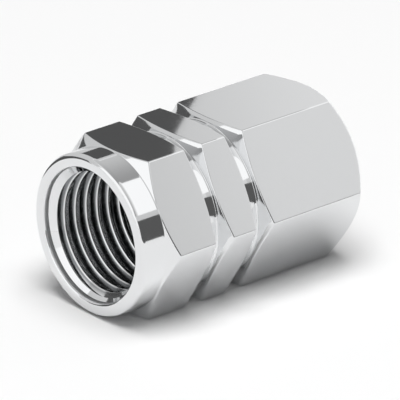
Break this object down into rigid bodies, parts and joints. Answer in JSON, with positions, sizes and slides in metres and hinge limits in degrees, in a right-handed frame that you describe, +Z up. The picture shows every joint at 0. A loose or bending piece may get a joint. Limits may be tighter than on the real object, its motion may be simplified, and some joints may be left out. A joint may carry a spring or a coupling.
{
  "type": "tyre valve cap",
  "caption": "Chromed hexagonal tyre valve cap with turned grooves, a round collar and a threaded blind bore that screws onto a valve stem and seals it on a rubber washer.",
  "frame": {"origin": "on the surface that the cap lies on, below the middle of its length and on its centre line", "axes": "-Y out of the bore's mouth along the cap's own axis, +Z up, +X to the right when looking into the bore's mouth along +Y; the cap lies on one flat of its hexagon"},
  "size_m": [0.011, 0.0164, 0.0095],
  "materials": {
    "chrome_plate": "polished",
    "black_rubber": "matte"
  },
  "bodies": {
    "root": {"cap_shell": "chrome_plate", "sealing_washer": "black_rubber"}
  },
  "joints": []
}
